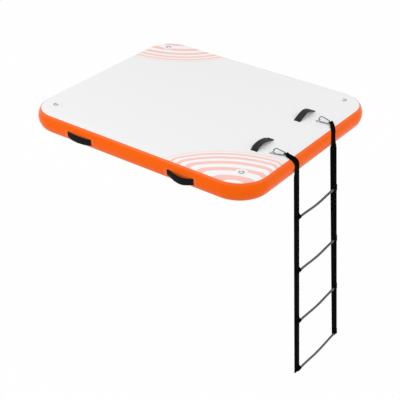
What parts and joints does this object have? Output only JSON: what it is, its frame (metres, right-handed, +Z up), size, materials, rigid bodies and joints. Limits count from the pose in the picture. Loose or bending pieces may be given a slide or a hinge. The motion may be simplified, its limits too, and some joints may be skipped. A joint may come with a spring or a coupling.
{
  "type": "inflatable dock platform with boarding ladder",
  "caption": "Flat rounded-rectangle air platform with a padded deck, grab handles, mooring rings and a webbing rung ladder hooked over one end.",
  "frame": {"origin": "centre of the flat underside of the platform", "axes": "+X along the platform towards the ladder, +Y across it, +Z up out of the deck"},
  "size_m": [1.9786, 1.5878, 1.7002],
  "materials": {
    "deck_sheet": "satin",
    "orange_sheet": "satin",
    "thread": "matte",
    "stainless_steel": "satin",
    "black_webbing": "matte",
    "handle_webbing": "matte",
    "rung_plastic": "matte",
    "valve_plastic": "matte",
    "cap_plastic": "satin",
    "seal_rubber": "matte"
  },
  "bodies": {
    "platform": {"top_skin": "deck_sheet", "bottom_skin": "orange_sheet", "side_wall": "orange_sheet", "top_seam_tape": "orange_sheet", "bottom_seam_tape": "orange_sheet", "drop_stitch_threads": "thread", "back_left_ring_base": "deck_sheet", "back_right_ring_base": "deck_sheet", "front_left_ring_base": "deck_sheet", "front_right_ring_base": "deck_sheet", "left_ladder_ring_base": "deck_sheet", "right_ladder_ring_base": "deck_sheet", "left_deck_handle": "handle_webbing", "right_deck_handle": "handle_webbing", "left_back_handle": "black_webbing", "left_front_handle": "black_webbing", "right_back_handle": "black_webbing", "right_front_handle": "black_webbing", "left_deck_handle_patch": "deck_sheet", "right_deck_handle_patch": "deck_sheet", "left_back_handle_patch": "orange_sheet", "left_front_handle_patch": "orange_sheet", "right_back_handle_patch": "orange_sheet", "right_front_handle_patch": "orange_sheet", "valve_body": "valve_plastic", "valve_gasket": "seal_rubber", "valve_nut": "valve_plastic", "valve_guide": "valve_plastic", "valve_spring": "stainless_steel", "left_top_strap": "black_webbing", "right_top_strap": "black_webbing"},
    "back_left_ring": {"back_left_ring": "stainless_steel"},
    "back_right_ring": {"back_right_ring": "stainless_steel"},
    "front_left_ring": {"front_left_ring": "stainless_steel"},
    "front_right_ring": {"front_right_ring": "stainless_steel"},
    "left_ladder_ring": {"left_ladder_ring": "stainless_steel"},
    "left_hook": {"left_hook": "stainless_steel", "left_gate_pin": "stainless_steel"},
    "left_gate": {"left_hook_gate": "stainless_steel", "left_gate_spring": "stainless_steel"},
    "right_ladder_ring": {"right_ladder_ring": "stainless_steel"},
    "right_hook": {"right_hook": "stainless_steel", "right_gate_pin": "stainless_steel"},
    "right_gate": {"right_hook_gate": "stainless_steel", "right_gate_spring": "stainless_steel"},
    "valve_stem": {"valve_stem": "valve_plastic"},
    "valve_cap": {"valve_cap": "cap_plastic", "valve_cap_seal": "seal_rubber"},
    "ladder_section_1": {"left_strap_1": "black_webbing", "right_strap_1": "black_webbing", "rung_1": "rung_plastic"},
    "ladder_section_2": {"left_strap_2": "black_webbing", "right_strap_2": "black_webbing", "rung_2": "rung_plastic"},
    "ladder_section_3": {"left_strap_3": "black_webbing", "right_strap_3": "black_webbing", "rung_3": "rung_plastic"},
    "ladder_section_4": {"left_strap_4": "black_webbing", "right_strap_4": "black_webbing", "rung_4": "rung_plastic"}
  },
  "joints": [
    {"name": "back_left_ring_flip", "type": "hinge", "parent": "platform", "child": "back_left_ring", "pos_m": [-0.754, -0.604, 0.1554], "axis": [-0.7071, 0.7071, 0], "range_deg": [0, 165]},
    {"name": "back_right_ring_flip", "type": "hinge", "parent": "platform", "child": "back_right_ring", "pos_m": [-0.754, 0.604, 0.1554], "axis": [0.7071, 0.7071, 0], "range_deg": [0, 165]},
    {"name": "front_left_ring_flip", "type": "hinge", "parent": "platform", "child": "front_left_ring", "pos_m": [0.754, -0.604, 0.1554], "axis": [-0.7071, -0.7071, 0], "range_deg": [0, 165]},
    {"name": "front_right_ring_flip", "type": "hinge", "parent": "platform", "child": "front_right_ring", "pos_m": [0.754, 0.604, 0.1554], "axis": [0.7071, -0.7071, 0], "range_deg": [0, 165]},
    {"name": "left_ladder_ring_lift", "type": "hinge", "parent": "platform", "child": "left_ladder_ring", "pos_m": [0.771, -0.3035, 0.1554], "axis": [0, -1, 0], "range_deg": [0, 4.5]},
    {"name": "left_hook_tilt", "type": "hinge", "parent": "left_ladder_ring", "child": "left_hook", "pos_m": [0.78836, -0.29575, 0.16879], "axis": [0, -1, 0], "range_deg": [-11.5, 1]},
    {"name": "left_gate_swing", "type": "hinge", "parent": "left_hook", "child": "left_gate", "pos_m": [0.83831, -0.2749, 0.17062], "axis": [0.2361, -0.6307, 0.7392], "range_deg": [0, 28], "stiffness_Nm_per_rad": 0.02, "springref_deg": -20.05},
    {"name": "right_ladder_ring_lift", "type": "hinge", "parent": "platform", "child": "right_ladder_ring", "pos_m": [0.774, 0.236, 0.1554], "axis": [0, -1, 0], "range_deg": [0, 8]},
    {"name": "right_hook_tilt", "type": "hinge", "parent": "right_ladder_ring", "child": "right_hook", "pos_m": [0.7935, 0.236, 0.16939], "axis": [0, -1, 0], "range_deg": [-11.5, 1]},
    {"name": "right_gate_swing", "type": "hinge", "parent": "right_hook", "child": "right_gate", "pos_m": [0.84468, 0.23767, 0.15605], "axis": [-0.1571, 0.8543, -0.4955], "range_deg": [0, 28], "stiffness_Nm_per_rad": 0.02, "springref_deg": -20.05},
    {"name": "valve_stem_push", "type": "slide", "parent": "platform", "child": "valve_stem", "axis": [1, 0, 0], "range_m": [0, 0.005], "stiffness_N_per_m": 300, "springref_m": -0.003, "deforming": ["valve_spring"]},
    {"name": "valve_cap_hinge", "type": "hinge", "parent": "platform", "child": "valve_cap", "pos_m": [-0.923, 0, 0.1025], "axis": [0, 1, 0], "range_deg": [0, 110]},
    {"name": "ladder_swing", "type": "hinge", "parent": "platform", "child": "ladder_section_1", "pos_m": [0.9163, 0, 0.08183], "axis": [0, -1, 0], "range_deg": [-4.2, 90]},
    {"name": "ladder_fold_1", "type": "hinge", "parent": "ladder_section_1", "child": "ladder_section_2", "pos_m": [0.94594, 0, -0.31707], "axis": [0, -1, 0], "range_deg": [-45, 80]},
    {"name": "ladder_fold_2", "type": "hinge", "parent": "ladder_section_2", "child": "ladder_section_3", "pos_m": [0.97558, 0, -0.71597], "axis": [0, -1, 0], "range_deg": [-45, 80]},
    {"name": "ladder_fold_3", "type": "hinge", "parent": "ladder_section_3", "child": "ladder_section_4", "pos_m": [1.00523, 0, -1.11487], "axis": [0, -1, 0], "range_deg": [-45, 80]}
  ],
  "couplings": [
    {"joint": "left_hook_tilt", "follows": "left_ladder_ring_lift", "ratio": -1.254},
    {"joint": "right_hook_tilt", "follows": "right_ladder_ring_lift", "ratio": -1.281}
  ]
}
